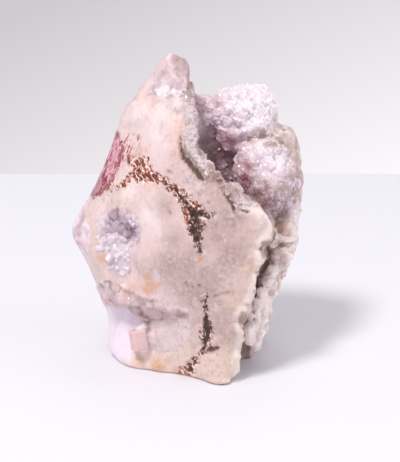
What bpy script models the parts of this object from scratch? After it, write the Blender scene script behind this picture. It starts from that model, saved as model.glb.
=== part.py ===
"""Pink amethyst freeform: a geode lump with a ground and polished front, cut flat to stand.

Three pieces share one frame, with the origin in the middle of the cut base, +Z up and the
polished front towards -Y:

    stone          the whole lump, with its open hollow, its crevice and the two balls in it
    hollow_druzy   the crust of crystals that lines the hollow and covers the balls
    pocket_druzy   the crust of crystals in the shallow pocket of the polished front

The stone starts as a loft through level outlines. Rounded cutters and wedges break out the
hollow, the crevice, the pocket, the mouth and the step under the front, and the balls are
added. A voxel remesh welds all of it, noise roughens what was never polished, and a
decimation leaves flat chips. Each crust is grown from the stone's own faces: the same faces
lifted clear of it, with a pyramid of crystal on every one.
"""

import math
import random

import bmesh
import bpy
from mathutils import Matrix, Vector, noise
from mathutils.bvhtree import BVHTree

MM = 0.001

# Driving dimensions. These and all sizes below are in millimetres.
HEIGHT = 107.0  # of the lump's peak, before its relief
STONE_TRIANGLES = 5600
VOXEL = 1.1
CRUST_GAP = 0.38
CRUST_THICKNESS = 0.8
MOST_SHELL = 1.5  # a corner of a crust rises by no more than this many times its faces
HOLLOW_MARGIN = 1.2  # the crust covers the stone this far outside the cutters of the hollow
BALL_MARGIN = 2.2  # this far outside the balls
POCKET_MARGIN = 0.4  # and this far outside the cutters of the pocket

# Level outlines of the lump before anything is broken out of it. Each has its height and
# eight points (x, y): left, front left, ridge, front right, right, back right, back and
# back left. The ridge is the soft edge between the two ground faces of the front.
OUTLINES = [
    (-4, [(-24, 12), (-18, -3), (2, -18), (12, -23), (23, 5), (23, 20), (0, 25), (-19, 22)]),
    (0, [(-25, 12), (-19, -4), (2, -19), (12.5, -24), (24, 5), (24, 20), (0, 26), (-20, 23)]),
    (10, [(-28, 12), (-21, -6), (2, -21), (17, -23), (27, 6), (26, 21), (0, 29), (-23, 25)]),
    (22, [(-31, 10), (-24, -8), (3, -23), (21, -22), (30, 7), (29, 22), (0, 31), (-25, 26)]),
    (33, [(-35, 9), (-28, -8), (3, -24), (25, -21), (35, 8), (32, 23), (0, 32), (-28, 26)]),
    (44, [(-38, 9), (-31, -7), (2, -24), (30, -20), (38, 8), (34, 23), (1, 32), (-30, 26)]),
    (56, [(-33, 9), (-27, -6), (0, -21), (27, -20), (38, 8), (34, 23), (2, 31), (-27, 25)]),
    (66, [(-29, 8), (-23, -5), (-3, -17), (22, -19), (38, 8), (33, 23), (3, 29), (-23, 24)]),
    (77, [(-25, 7), (-19, -4), (-6, -14), (14, -16), (35, 8), (30, 21), (4, 27), (-19, 22)]),
    (88, [(-21, 5), (-17, -4), (-7, -11), (6, -12), (28, 8), (25, 18), (4, 23), (-14, 19)]),
    (95, [(-15, 2), (-12, -4), (-8, -8), (1, -9), (16, 4), (14, 12), (0, 16), (-11, 12)]),
    (101, [(-12, 0), (-10, -4), (-6, -6), (0, -6), (4, -2), (1, 3), (-4, 6), (-9, 3)]),
    (105, [(-8, -1), (-7, -3), (-5, -4), (-2, -4), (-1, -1), (-2, 2), (-5, 2), (-7, 1)]),
]
AROUND = 64
RINGS_PER_STEP = 4

# What is broken away: the space past all the planes of a break is gone. A plane is a point
# on it and the direction that it faces.
PEAK_SIDE = ((1, 0, 94), (1, 0.1, 0.05))
BREAKS = {
    "mouth": [PEAK_SIDE, ((3.4, 0, 77), (0.72, 0, 0.69)), ((0, -7, 0), (0, -1, 0))],
    "crown": [PEAK_SIDE, ((1, 0, 91.5), (0.36, 0.05, 0.93))],
    "flange_side": [((30.5, 0, 50), (1, -0.1, 0)), ((0, -7, 50), (0, -1, 0.15))],
    "slab_side": [
        ((25.7, 0, 40), (1, -0.1, -0.2)),
        ((0, -8, 20), (0.1, -1, 0.1)),
        ((27, 0, 47.5), (-0.3, 0, -1)),
    ],
    "under_ledge": [
        ((-11.5, -11, 10), (-0.68, -0.73, 0)),
        ((-30, 0, 22), (0.1, 0, -1)),
    ],
}

# Rounded cutters, each with its centre, its half sizes and its turn about Z in degrees.
HOLLOW = [
    ((8, -1, 84), (9, 8, 13), 0),
    ((15, -1, 71), (14, 12, 14), -10),
    ((19, -5, 81), (9, 7, 9), 0),
]
CREVICE = [
    ((27, -9, 50), (9, 4, 10), 15),
    ((24, -8, 36), (8, 3.5, 12), 15),
    ((20, -7, 20), (8, 3.5, 12), 15),
    ((18, -6, 3), (7, 3.5, 12), 15),
]
POCKET = [
    ((-23, -11.5, 47), (8, 6, 8), -35),
    ((-22, -12.5, 36), (6, 5.5, 9), -35),
]
SCALLOPS = [
    ((31, -18, 44.5), (7.5, 7, 3), 0),
    ((28.5, -18, 33), (6, 7, 2.5), 0),
    ((24, -18, 20), (7.5, 6, 3.5), 0),
    ((23, -19, 8), (6.5, 6, 2.5), 0),
    ((22, -18, 62), (3, 6, 2.5), 0),
]

# Balls of crystal that grew in the hollow, each with its centre and its half sizes.
BALLS = [
    ((15.5, 7, 86), (7.5, 8, 8)),
    ((22, 9, 85.5), (8.5, 8, 8.5)),
    ((18, 4, 79), (7.5, 7, 6.5)),
    ((24, -3, 68), (8.5, 8, 8)),
    ((27.5, -4, 64), (7, 7.5, 8)),
]
# Lumps of clear quartz: the nub on the left side, a crystal under the ledge of the front,
# knobs on the rim of the hollow and lumps past the crevice.
LUMPS = [
    ((-34.5, 5, 44.5), (4, 6, 6.5)),
    ((-15.6, -9.9, 11.5), (3, 3.5, 4.5)),
    ((15.5, -15, 64.5), (2.6, 2.6, 2.6)),
    ((20, -17, 58.5), (2.4, 2, 2.2)),
    ((33, -5, 47), (4, 4, 3.5)),
    ((31, -6, 38), (3.5, 4, 4)),
    ((28, -5, 28), (4, 4, 4.5)),
    ((24, -4, 15), (3.5, 4, 5)),
]

# The relief of each finish: waves as (wavelength, height).
ROUGH_WAVES = [(13, 1.2), (5, 0.9), (2.6, 0.45)]
POLISHED_WAVES = [(22, 0.5)]
LINED_WAVES = [(8, 0.9)]
LINED_SMOOTHING = 8
POLISHED_DEPTH = 0.6  # what lies this deep under the lump's first skin was never polished
ROUGH_RIGHT = 29.0  # the skin itself is natural rind right of this
ROUGH_TOP = 93.0  # above this
ROUGH_BACK = 15.0  # and behind this

CRYSTAL_HEIGHTS = (0.5, 1.2)
CRYSTAL_LEAN = 0.35  # sideways, for each millimetre of height
JUST_OFF = 0.05  # where a ray starts, so that it misses the face that it leaves
SEED = 7


def material(name, colour, roughness):
    """A plain stone material."""
    made = bpy.data.materials.new(name)
    made.use_nodes = True
    surface = made.node_tree.nodes["Principled BSDF"]
    surface.inputs["Base Color"].default_value = (*colour, 1.0)
    surface.inputs["Roughness"].default_value = roughness
    return made


def new_object(name, shape):
    """An object of this name in the scene, holding the bmesh."""
    mesh = bpy.data.meshes.new(name)
    shape.to_mesh(mesh)
    shape.free()
    obj = bpy.data.objects.new(name, mesh)
    bpy.context.scene.collection.objects.link(obj)
    return obj


def curve_through(a, b, c, d, t):
    """The point at t on the smooth curve from b to c, with a before b and d after c."""
    return (
        b
        + (c - a) * (t / 2)
        + (a * 2 - b * 5 + c * 4 - d) * (t * t / 2)
        + (b * 3 - a - c * 3 + d) * (t * t * t / 2)
    )


def closed_curve(points, count):
    """count points on the smooth closed curve through the given ones."""
    sides = len(points)
    found = []
    for i in range(count):
        place = i * sides / count
        k = int(place)
        near = [points[(k + j) % sides] for j in (-1, 0, 1, 2)]
        found.append(curve_through(*near, place - k))
    return found


def lump():
    """The stone before anything is broken out of it, as a loft through the outlines."""
    rings = [
        closed_curve([Vector((x, y, height)) for x, y in outline], AROUND)
        for height, outline in OUTLINES
    ]
    rings = [rings[0], *rings, rings[-1]]
    shape = bmesh.new()
    loops = []
    for k in range(1, len(rings) - 2):
        for step in range(RINGS_PER_STEP):
            columns = zip(*rings[k - 1 : k + 3])
            points = [curve_through(*column, step / RINGS_PER_STEP) for column in columns]
            loops.append([shape.verts.new(point * MM) for point in points])
    loops.append([shape.verts.new(point * MM) for point in rings[-1]])
    for below, above in zip(loops, loops[1:]):
        for i in range(AROUND):
            j = (i + 1) % AROUND
            shape.faces.new((below[i], below[j], above[j], above[i]))
    top = sum(rings[-1], Vector()) / AROUND
    peak = shape.verts.new(Vector((top.x, top.y, HEIGHT)) * MM)
    for i in range(AROUND):
        shape.faces.new((loops[-1][i], loops[-1][(i + 1) % AROUND], peak))
    shape.faces.new(list(reversed(loops[0])))
    bmesh.ops.recalc_face_normals(shape, faces=shape.faces)
    return new_object("stone", shape)


def placed(centre, sizes, turn=0.0):
    """The matrix that makes a unit ball the ellipsoid of these half sizes, in metres."""
    return (
        Matrix.Translation(Vector(centre) * MM)
        @ Matrix.Rotation(math.radians(turn), 4, "Z")
        @ Matrix.Diagonal((*(s * MM for s in sizes), 1.0))
    )


def rounded_cutter(name, centre, sizes, turn):
    """A rounded solid to cut with."""
    shape = bmesh.new()
    bmesh.ops.create_icosphere(shape, subdivisions=4, radius=1.0, matrix=placed(centre, sizes, turn))
    return new_object(name, shape)


def inside(point, ellipsoids, margin):
    """Whether the point lies in one of the ellipsoids, grown by the margin."""
    for centre, sizes, *turn in ellipsoids:
        grown = [size + margin for size in sizes]
        if (placed(centre, grown, *turn).inverted() @ point).length < 1:
            return True
    return False


def in_hollow(point):
    """Whether the crust of the hollow covers the stone here."""
    return inside(point, HOLLOW, HOLLOW_MARGIN) or inside(point, BALLS, BALL_MARGIN)


def in_pocket(point):
    """Whether the crust of the pocket covers the stone here."""
    return inside(point, POCKET, POCKET_MARGIN)


def cut_flat(shape, point, facing):
    """Removes what lies past a plane and closes the cut with one flat face."""
    cut = bmesh.ops.bisect_plane(
        shape,
        geom=shape.verts[:] + shape.edges[:] + shape.faces[:],
        plane_co=Vector(point) * MM,
        plane_no=facing,
        clear_outer=True,
    )
    edges = [part for part in cut["geom_cut"] if isinstance(part, bmesh.types.BMEdge)]
    bmesh.ops.edgeloop_fill(shape, edges=edges)


def wedge(name, planes):
    """A block of all the space past every one of these planes."""
    shape = bmesh.new()
    bmesh.ops.create_cube(shape, size=4 * HEIGHT * MM)
    for point, facing in planes:
        cut_flat(shape, point, -Vector(facing))
    bmesh.ops.recalc_face_normals(shape, faces=shape.faces)
    return new_object(name, shape)


def apply_modifiers(obj):
    """Makes the object's mesh what its modifiers show."""
    graph = bpy.context.evaluated_depsgraph_get()
    mesh = bpy.data.meshes.new_from_object(obj.evaluated_get(graph))
    obj.modifiers.clear()
    obj.data = mesh


def skin_of(obj):
    """The object's surface, to measure distances from."""
    return BVHTree.FromObject(obj, bpy.context.evaluated_depsgraph_get())


def break_out(obj, cutter):
    """Cuts the cutter out of obj and removes it."""
    boolean = obj.modifiers.new(cutter.name, "BOOLEAN")
    boolean.operation = "DIFFERENCE"
    boolean.object = cutter
    apply_modifiers(obj)
    bpy.data.objects.remove(cutter)


def add_ball(obj, centre, sizes):
    """Adds a ball to obj's mesh, to be welded in by the remesh."""
    shape = bmesh.new()
    shape.from_mesh(obj.data)
    bmesh.ops.create_icosphere(shape, subdivisions=4, radius=1.0, matrix=placed(centre, sizes))
    shape.to_mesh(obj.data)
    shape.free()


def remesh(obj):
    """Welds the whole solid, with the balls that overlap it, into one even skin."""
    modifier = obj.modifiers.new("Remesh", "REMESH")
    modifier.mode = "VOXEL"
    modifier.voxel_size = VOXEL * MM
    apply_modifiers(obj)


def decimate(obj, triangles):
    """Brings the mesh down to about this many triangles."""
    count = sum(len(face.vertices) - 2 for face in obj.data.polygons)
    modifier = obj.modifiers.new("Decimate", "DECIMATE")
    modifier.ratio = triangles / count
    apply_modifiers(obj)


def waves(point, finish):
    """The height of a finish's relief at a point."""
    return sum(
        height * MM * noise.noise(point / (wavelength * MM)) for wavelength, height in finish
    )


def finish_at(point, first_skin):
    """The waves of the finish that the stone has at a point of its skin."""
    if in_hollow(point) or in_pocket(point):
        return LINED_WAVES
    x, y, z = point / MM
    rind = x > ROUGH_RIGHT or z > ROUGH_TOP or y > ROUGH_BACK
    broken = first_skin.find_nearest(point)[3] > POLISHED_DEPTH * MM
    return ROUGH_WAVES if rind or broken else POLISHED_WAVES


def add_relief(obj, first_skin):
    """Roughens what is broken, or natural rind, and leaves the ground faces nearly smooth."""
    shape = bmesh.new()
    shape.from_mesh(obj.data)
    shape.normal_update()
    finishes = [finish_at(vertex.co, first_skin) for vertex in shape.verts]
    lined = [vertex for vertex, finish in zip(shape.verts, finishes) if finish is LINED_WAVES]
    steps = [v.normal * waves(v.co, finish) for v, finish in zip(shape.verts, finishes)]
    for vertex, step in zip(shape.verts, steps):
        vertex.co += step
    for _ in range(LINED_SMOOTHING):
        bmesh.ops.smooth_vert(
            shape, verts=lined, factor=0.5, use_axis_x=True, use_axis_y=True, use_axis_z=True
        )
    shape.to_mesh(obj.data)
    shape.free()


def cut_base(obj):
    """Cuts the stone flat where it stands."""
    shape = bmesh.new()
    shape.from_mesh(obj.data)
    cut_flat(shape, (0, 0, 0), (0, 0, -1))
    shape.to_mesh(obj.data)
    shape.free()


def broken_stone():
    """The stone with all its hollows, its balls and its relief."""
    stone = lump()
    first_skin = skin_of(stone)
    for number, rounded in enumerate(HOLLOW + CREVICE + POCKET + SCALLOPS):
        break_out(stone, rounded_cutter(f"cutter_{number}", *rounded))
    for name, planes in BREAKS.items():
        break_out(stone, wedge(name, planes))
    for centre, sizes in BALLS + LUMPS:
        add_ball(stone, centre, sizes)
    remesh(stone)
    add_relief(stone, first_skin)
    decimate(stone, STONE_TRIANGLES)
    cut_base(stone)
    return stone


def delete_faces(shape, unwanted):
    """Deletes the faces in this set, in the mesh's own order, so that each run is the same."""
    faces = [face for face in shape.faces if face in unwanted]
    bmesh.ops.delete(shape, geom=faces, context="FACES")


def pinched(shape):
    """The faces round each corner where two parts of a sheet meet at that corner alone."""
    corners = [v for v in shape.verts if sum(edge.is_boundary for edge in v.link_edges) > 2]
    return {face for corner in corners for face in corner.link_faces}


def keep_one_sheet(shape):
    """Leaves the largest sheet of faces, with no two of its parts meeting at a lone corner."""
    while pinched(shape):
        delete_faces(shape, pinched(shape))
    unseen = set(shape.faces)
    sheets = []
    while unseen:
        sheet = {unseen.pop()}
        edge_of_sheet = list(sheet)
        while edge_of_sheet:
            face = edge_of_sheet.pop()
            near = {other for edge in face.edges for other in edge.link_faces} & unseen
            unseen -= near
            sheet |= near
            edge_of_sheet += near
        sheets.append(sheet)
    delete_faces(shape, set(shape.faces) - max(sheets, key=len))


def room_over(skin, point, direction):
    """How far the skin is over a point in a direction, or infinity where nothing is over it."""
    distance = skin.ray_cast(point + direction * JUST_OFF * MM, direction)[3]
    return math.inf if distance is None else distance


def lift(vertices, height, stone_skin):
    """Moves a skin's corners outwards, so that its faces rise by about the height.

    Where the stone stands close over a corner it rises by a third of the room at most.
    """
    steps = []
    for vertex in vertices:
        rise = height * MM * min(vertex.calc_shell_factor(), MOST_SHELL)
        room = room_over(stone_skin, vertex.co, vertex.normal)
        steps.append(vertex.normal * min(rise, room / 3))
    for vertex, step in zip(vertices, steps):
        vertex.co += step


def crust(name, stone, lined):
    """A crust of crystals over the stone's faces whose middles are lined."""
    stone_skin = skin_of(stone)
    shape = bmesh.new()
    shape.from_mesh(stone.data)
    bmesh.ops.triangulate(shape, faces=shape.faces)
    lift(shape.verts[:], CRUST_GAP, stone_skin)
    delete_faces(shape, {face for face in shape.faces if not lined(face.calc_center_median())})
    keep_one_sheet(shape)
    grown = bmesh.ops.extrude_face_region(shape, geom=shape.faces[:])["geom"]
    outer_verts = [part for part in grown if isinstance(part, bmesh.types.BMVert)]
    outer_faces = [part for part in grown if isinstance(part, bmesh.types.BMFace)]
    lift(outer_verts, CRUST_THICKNESS, stone_skin)
    grow_crystals(shape, outer_faces, stone_skin)
    bmesh.ops.recalc_face_normals(shape, faces=shape.faces)
    return new_object(name, shape)


def grow_crystals(shape, faces, stone_skin):
    """Raises a pyramid on each face, and leaves flat any that would touch the stone."""
    dice = random.Random(SEED)
    crust_skin = BVHTree.FromBMesh(shape)
    for face in faces:
        middle = face.calc_center_median()
        direction = face.normal.copy()
        room = room_over(crust_skin, middle, direction)
        height = min(dice.uniform(*CRYSTAL_HEIGHTS) * MM, room / 3)
        lean = Vector([dice.uniform(-1, 1) for _ in range(3)]) * CRYSTAL_LEAN * height
        tip = bmesh.ops.poke(shape, faces=[face])["verts"][0]
        place = middle + direction * height + lean - direction * lean.dot(direction)
        nearest, facing = stone_skin.find_nearest(place)[:2]
        if (place - nearest).dot(facing) > CRUST_GAP * MM:
            tip.co = place


def main():
    for obj in list(bpy.data.objects):
        bpy.data.objects.remove(obj)
    stone = broken_stone()
    hollow_druzy = crust("hollow_druzy", stone, in_hollow)
    pocket_druzy = crust("pocket_druzy", stone, in_pocket)
    stone.data.materials.append(material("polished_pink_quartz", (0.80, 0.66, 0.65), 0.35))
    hollow_druzy.data.materials.append(material("lavender_crystal", (0.72, 0.60, 0.72), 0.25))
    pocket_druzy.data.materials.append(material("clear_quartz", (0.78, 0.70, 0.76), 0.2))


main()
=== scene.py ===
import math
import random
from functools import partial

import bmesh
import bpy
import numpy as np
from mathutils import Matrix, Vector, noise
from mathutils.bvhtree import BVHTree
from mathutils.kdtree import KDTree


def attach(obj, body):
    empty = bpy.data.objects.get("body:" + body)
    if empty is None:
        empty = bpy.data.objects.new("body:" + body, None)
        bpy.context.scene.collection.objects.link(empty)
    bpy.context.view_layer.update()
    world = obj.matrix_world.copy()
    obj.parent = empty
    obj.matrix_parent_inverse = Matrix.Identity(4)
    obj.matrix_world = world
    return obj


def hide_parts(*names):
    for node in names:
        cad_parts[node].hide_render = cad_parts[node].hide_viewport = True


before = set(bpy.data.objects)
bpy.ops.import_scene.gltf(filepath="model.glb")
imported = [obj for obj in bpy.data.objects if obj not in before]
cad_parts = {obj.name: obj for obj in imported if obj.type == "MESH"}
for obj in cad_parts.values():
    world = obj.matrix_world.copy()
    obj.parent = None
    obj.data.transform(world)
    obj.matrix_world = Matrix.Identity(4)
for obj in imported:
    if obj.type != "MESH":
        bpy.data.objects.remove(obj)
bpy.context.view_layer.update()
mm = 0.001

# All lengths below are millimetres unless a name says otherwise. "View" points are (right, up)
# of the middle of the base, measured square to the camera's line at the stone's distance.

view = {
    "elevation": 17.0,  # degrees
    "distance": 500.0,
    "aimHeight": 52.0,
    "frame": (400, 462),
    "pixelsPerMm": 2.955,
    "basePixel": (188.0, 361.3),
}


def addObject(name, data):
    made = bpy.data.objects.new(name, data)
    bpy.context.scene.collection.objects.link(made)
    return made


def viewAxes():
    tilt = math.radians(view["elevation"])
    back = np.array([0.0, -math.cos(tilt), math.sin(tilt)])
    up = np.array([0.0, math.sin(tilt), math.cos(tilt)])
    return back, up


def addCamera():
    back, up = viewAxes()
    data = bpy.data.cameras.new("view camera")
    camera = addObject("view camera", data)
    camera.location = Vector(back) * view["distance"] * mm + Vector((0, 0, view["aimHeight"] * mm))
    camera.rotation_euler = Vector(-back).to_track_quat("-Z", "Y").to_euler()
    width, height = view["frame"]
    data.sensor_width = 36.0
    data.lens = data.sensor_width * view["distance"] * view["pixelsPerMm"] / height
    aimPixel = view["basePixel"][1] - view["aimHeight"] * up[2] * view["pixelsPerMm"]
    data.shift_x = (width / 2 - view["basePixel"][0]) / height
    data.shift_y = (aimPixel - height / 2) / height
    bpy.context.scene.camera = camera


def toView(points):
    # where points, in metres, show on the view plane, in millimetres
    back, up = viewAxes()
    away = points / mm - np.array([0.0, 0.0, view["aimHeight"]])
    nearer = view["distance"] / (view["distance"] - away @ back)
    right = away[:, 0] * nearer
    high = (away @ up) * nearer + view["aimHeight"] * up[2]
    return np.stack([right, high], axis=1)


def toLinear(hexColour):
    value = int(hexColour.lstrip("#"), 16)
    channels = [(value >> shift & 255) / 255 for shift in (16, 8, 0)]
    return [c / 12.92 if c <= 0.04045 else ((c + 0.055) / 1.055) ** 2.4 for c in channels] + [1.0]


nodeKinds = {
    # word: (Blender's node, its fixed values, where its inputs go in turn, the output it gives)
    "add": ("Math", {"operation": "ADD"}, (0, 1), 0),
    "subtract": ("Math", {"operation": "SUBTRACT"}, (0, 1), 0),
    "multiply": ("Math", {"operation": "MULTIPLY"}, (0, 1), 0),
    "remap": ("MapRange", {"interpolation_type": "SMOOTHSTEP"}, (0, 1, 2, 3, 4), 0),
    "blend": ("Mix", {"data_type": "RGBA", "clamp_factor": True}, (0, 6, 7), 2),
    "ramp": ("ValToRGB", {}, (0,), 0),
    "noise": (
        "TexNoise", {"Detail": 3.0, "Roughness": 0.55},
        ("Vector", "Scale", "Detail", "Roughness", "Distortion"), 0,
    ),
    "attribute": ("Attribute", {}, (), "Fac"),
    "place": ("TexCoord", {}, (), "Object"),
    "direction": ("TexCoord", {}, (), "Generated"),
    "xOf": ("SeparateXYZ", {}, (0,), "X"),
    "zOf": ("SeparateXYZ", {}, (0,), "Z"),
    "slant": ("Mapping", {"vector_type": "TEXTURE"}, ("Vector", "Rotation", "Scale"), 0),
    "bump": ("Bump", {}, ("Height", "Strength", "Distance"), 0),
    "shader": ("BsdfPrincipled", {}, (), 0),
    "output": ("OutputMaterial", {}, ("Surface",), None),
}


def addNode(tree, kind, *inputs, stops=(), **settings):
    # adds a node with its settings and links and returns its output; text stands for a colour
    blenderKind, fixed, sockets, output = nodeKinds[kind]
    made = tree.nodes.new("ShaderNode" + blenderKind)
    for name, value in {**fixed, **settings}.items():
        if name in made.inputs:
            made.inputs[name].default_value = value
        else:
            setattr(made, name, value)
    named = inputs and isinstance(inputs[0], dict)
    for socket, value in inputs[0].items() if named else zip(sockets, inputs):
        if isinstance(value, bpy.types.NodeSocket):
            tree.links.new(value, made.inputs[socket])
        else:
            made.inputs[socket].default_value = toLinear(value) if isinstance(value, str) else value
    for _ in stops[2:]:
        made.color_ramp.elements.new(0.5)
    for i, (place, hexColour) in enumerate(stops):
        made.color_ramp.elements[i].position = place
        made.color_ramp.elements[i].color = toLinear(hexColour)
    return None if output is None else made.outputs[output]


def newMaterial(name):
    made = bpy.data.materials.new(name)
    made.use_nodes = True
    made.node_tree.nodes.clear()
    return made


def perMm(wavelength):
    return 1 / (wavelength * mm)


def deselectAll():
    if bpy.context.object and bpy.context.object.mode != "OBJECT":
        bpy.ops.object.mode_set(mode="OBJECT")
    bpy.ops.object.select_all(action="DESELECT")


def makeActive(obj):
    deselectAll()
    obj.select_set(True)
    bpy.context.view_layer.objects.active = obj


def applyModifier(obj, kind, **settings):
    makeActive(obj)
    modifier = obj.modifiers.new(kind.title(), kind)
    for name, value in settings.items():
        setattr(modifier, name, value)
    bpy.ops.object.modifier_apply(modifier=modifier.name)


def smoothStep(values, low, high):
    t = np.clip((values - low) / (high - low), 0, 1)
    return t * t * (3 - 2 * t)


def meshArrays(obj):
    count = len(obj.data.vertices)
    places = np.empty(count * 3, np.float32)
    normals = np.empty(count * 3, np.float32)
    obj.data.vertices.foreach_get("co", places)
    obj.data.vertices.foreach_get("normal", normals)
    return places.reshape(-1, 3).astype(float), normals.reshape(-1, 3).astype(float)


def setPlaces(obj, places):
    obj.data.vertices.foreach_set("co", places.astype(np.float32).ravel())
    obj.data.update()


def setAttribute(obj, name, values):
    made = obj.data.attributes.get(name) or obj.data.attributes.new(name, "FLOAT", "POINT")
    made.data.foreach_set("value", np.asarray(values, np.float32))


def lineStrength(points, lines):
    # how far view points lie inside the nearest of some lines of varying half width
    best = np.full(len(points), -999.0)
    for line in lines:
        for (x0, y0, w0), (x1, y1, w1) in zip(line, line[1:]):
            start, along = np.array([x0, y0]), np.array([x1 - x0, y1 - y0])
            t = np.clip(((points - start) @ along) / max(along @ along, 1e-9), 0, 1)
            gap = np.linalg.norm(points - start - t[:, None] * along, axis=1)
            best = np.maximum(best, w0 + (w1 - w0) * t - gap)
    return best


def depthInside(points, outline):
    # how far view points lie inside a closed outline, negative outside it
    distance = -lineStrength(points, [[(x, y, 0) for x, y in outline + outline[:1]]])
    inside = np.zeros(len(points), bool)
    corners = np.array(outline, float)
    for (x0, y0), (x1, y1) in zip(corners, np.roll(corners, -1, axis=0)):
        crosses = (y0 > points[:, 1]) != (y1 > points[:, 1])
        level = x0 + (points[:, 1] - y0) / (y1 - y0 if y1 != y0 else 1e-9) * (x1 - x0)
        inside ^= crosses & (points[:, 0] < level)
    return np.where(inside, distance, -distance)


def noiseField(points, wavelength, seed):
    scale = 1 / (wavelength * mm)
    shift = Vector((seed * 7.1, seed * 3.7, seed * 5.3))
    return np.array([noise.noise(Vector(point) * scale + shift) for point in points])


studio = {
    "floorSize": 6.0,  # metres
    "farEdge": 0.24,  # metres; the board ends a little behind the stone
    "floor": {"Base Color": "#e8eaf3", "Roughness": 0.6},
    "wall": ("#d0cbd1", "#fdf8fb"),  # at its darkest and at its palest
    "wallFade": (1.94, -5.1, -0.606),  # how it pales to the right and with height, and its start
    "horizon": (-0.05, 0.0),
    "sky": "#f8f3f6",
    "skyStrength": 0.62,  # above the horizon; below it is the pale wall
}
lights = {
    # name: (azimuth, elevation, distance), size, watts, colour
    "key": ((-36, 58, 1400), 300, 12.8, "#fffaf6"),
    "fill": ((60, 30, 900), 700, 0.5, "#fffaf8"),
    "top": ((160, 60, 800), 500, 0.5, "#ffffff"),
    "far side": ((82, 14, 700), 300, 0.7, "#fff6f2"),
}


def addStage():
    size = studio["floorSize"]
    deselectAll()
    bpy.ops.mesh.primitive_plane_add(size=size, location=(0, studio["farEdge"] - size / 2, 0))
    floor = bpy.context.object
    floor.name = "floor"
    material = newMaterial("matt white board")
    add = partial(addNode, material.node_tree)
    add("output", add("shader", studio["floor"]))
    floor.data.materials.append(material)


def addLights():
    for name, ((azimuth, elevation, distance), size, watts, colour) in lights.items():
        data = bpy.data.lights.new(name + " softbox", "AREA")
        data.shape = "DISK"
        data.size = size * mm
        data.energy = watts
        data.color = toLinear(colour)[:3]
        lamp = addObject(data.name, data)
        turn, tilt = math.radians(azimuth), math.radians(elevation)
        away = Vector(
            (math.sin(turn) * math.cos(tilt), -math.cos(turn) * math.cos(tilt), math.sin(tilt))
        )
        lamp.location = away * distance * mm + Vector((0, 0, view["aimHeight"] * mm))
        lamp.rotation_euler = (-away).to_track_quat("-Z", "Y").to_euler()


def addWorld():
    world = bpy.data.worlds.new("studio")
    bpy.context.scene.world = world
    world.use_nodes = True
    tree = world.node_tree
    add = partial(addNode, tree)
    direction = add("direction")
    height = add("zOf", direction)
    right, rise, start = studio["wallFade"]
    fade = add("add", add("multiply", add("xOf", direction), right), add("multiply", height, rise))
    wall = add("blend", add("add", fade, start), *studio["wall"])
    above = add("remap", height, *studio["horizon"])
    strength = add("remap", height, *studio["horizon"], 1.0, studio["skyStrength"])
    background = tree.nodes["Background"]
    tree.links.new(add("blend", above, wall, studio["sky"]), background.inputs["Color"])
    tree.links.new(strength, background.inputs["Strength"])


addCamera()
addStage()
addLights()
addWorld()
bpy.context.scene.view_settings.view_transform = "Standard"
bpy.context.scene.cycles.use_denoising = True
print("camera, floor and lights are set")

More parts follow.
